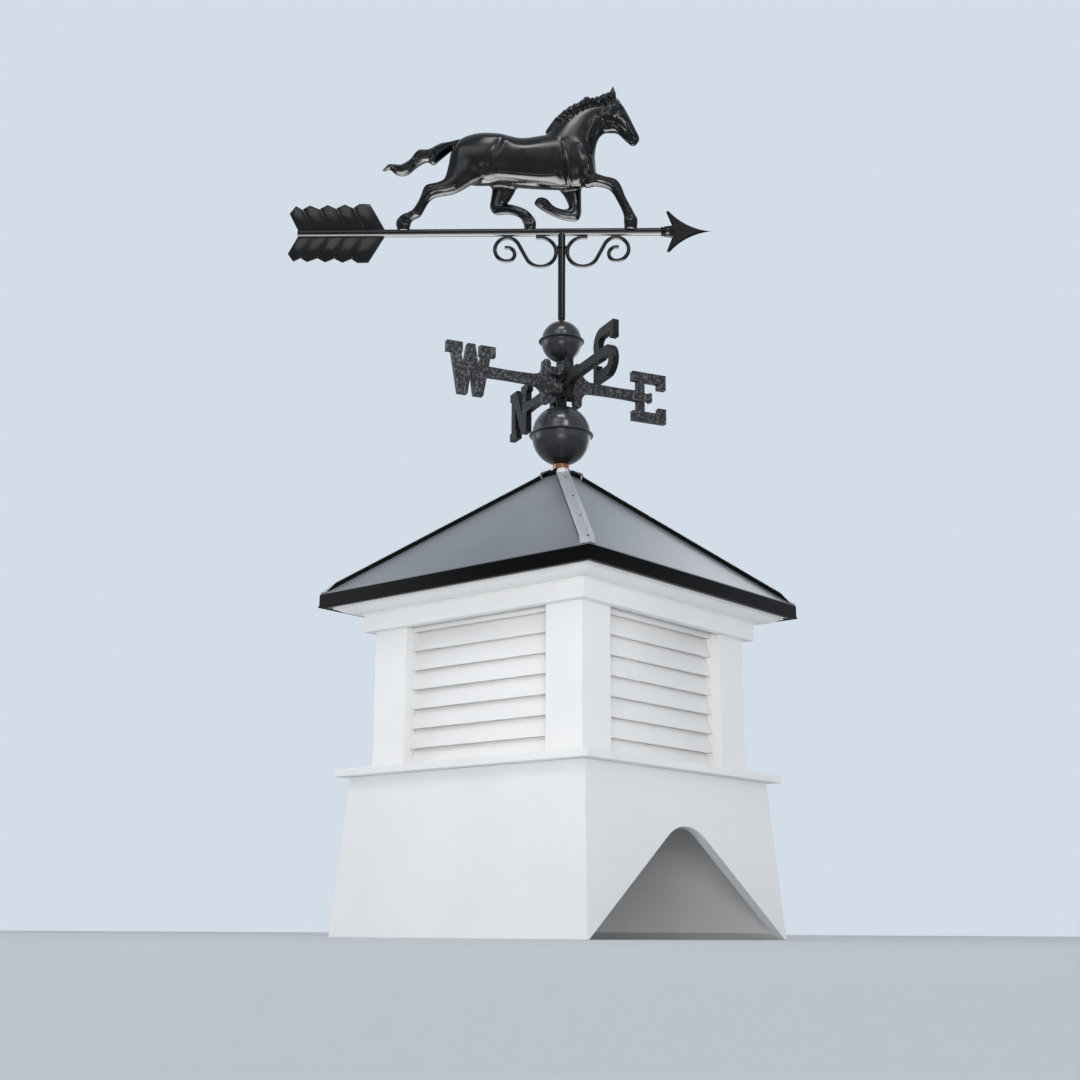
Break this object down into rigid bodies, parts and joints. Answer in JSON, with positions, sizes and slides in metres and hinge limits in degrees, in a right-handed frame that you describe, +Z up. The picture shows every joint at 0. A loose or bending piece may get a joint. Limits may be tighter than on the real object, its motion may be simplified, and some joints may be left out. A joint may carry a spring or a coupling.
{
  "type": "barn cupola",
  "caption": "Square louvred roof cupola with flared base, ledge, cornice and pyramid metal roof, carrying a turning full-bodied horse and arrow weathervane.",
  "frame": {"origin": "centre of the base's bottom, level with the lands that rest on the roof", "axes": "+Z up along the vane rod; the front louvre panel faces -Y; the notches for the roof ridge are in the -X and +X walls"},
  "size_m": [0.7211, 0.6354, 1.6149],
  "materials": {
    "white_trim": "satin white cellular vinyl board",
    "roof_sheet": "satin dark grey coated aluminium sheet",
    "copper": "bright copper tube",
    "gloss_black": "gloss black on spun metal",
    "rod_steel": "black steel rod",
    "black_casting": "satin black on sand casting",
    "vane_finish": "satin black on formed sheet and rod"
  },
  "bodies": {
    "cupola": {"base_front_wall": "white_trim", "ledge_front": "white_trim", "louvre_front": "white_trim", "frieze_front": "white_trim", "crown_front": "white_trim", "roof_front_panel": "roof_sheet", "base_right_wall": "white_trim", "ledge_right": "white_trim", "louvre_right": "white_trim", "frieze_right": "white_trim", "crown_right": "white_trim", "roof_right_panel": "roof_sheet", "base_back_wall": "white_trim", "ledge_back": "white_trim", "louvre_back": "white_trim", "frieze_back": "white_trim", "crown_back": "white_trim", "roof_back_panel": "roof_sheet", "base_left_wall": "white_trim", "ledge_left": "white_trim", "louvre_left": "white_trim", "frieze_left": "white_trim", "crown_left": "white_trim", "roof_left_panel": "roof_sheet", "post_front_left": "white_trim", "post_front_right": "white_trim", "post_back_right": "white_trim", "post_back_left": "white_trim", "soffit": "white_trim", "hip_caps": "roof_sheet", "peak_cap": "roof_sheet", "copper_collar": "copper", "large_ball": "gloss_black", "small_ball": "gloss_black", "vane_rod": "rod_steel", "west_east_casting": "black_casting", "north_south_casting": "black_casting"},
    "vane": {"arrow_shaft": "vane_finish", "vane_sleeve": "vane_finish", "arrow_head": "vane_finish", "arrow_fletching": "vane_finish", "scrolls": "vane_finish", "horse": "vane_finish"}
  },
  "joints": [
    {"name": "vane_spin", "type": "hinge", "parent": "cupola", "child": "vane", "pos_m": [0, 0, 1.3], "axis": [0, 0, 1], "continuous": true}
  ]
}
